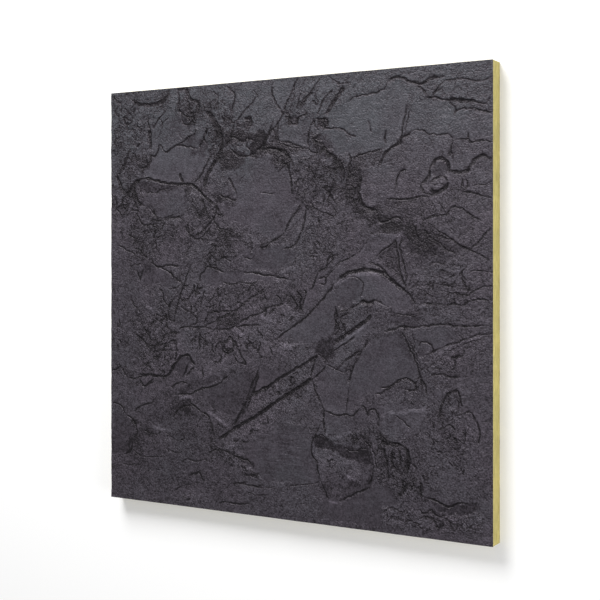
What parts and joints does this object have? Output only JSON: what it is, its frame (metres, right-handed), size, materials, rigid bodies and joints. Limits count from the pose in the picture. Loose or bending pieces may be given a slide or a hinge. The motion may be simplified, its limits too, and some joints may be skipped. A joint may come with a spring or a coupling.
{
  "type": "ceiling tile",
  "caption": "Square lay-in acoustic ceiling tile: a glass wool board with bare cut edges and a dark embossed slate-look facing.",
  "frame": {"origin": "middle of the tile's back, on the floor that it lies on", "axes": "+Z out of the embossed face, +X to the right of the relief and +Y to the top of it"},
  "size_m": [0.603, 0.603, 0.0254],
  "materials": {
    "glass_wool": "bonded yellow glass wool, cut edges, matt and fibrous",
    "slate_facing": "charcoal embossed sheet with a satin sheen"
  },
  "bodies": {
    "root": {"glass_wool_core": "glass_wool", "embossed_facing": "slate_facing"}
  },
  "joints": []
}
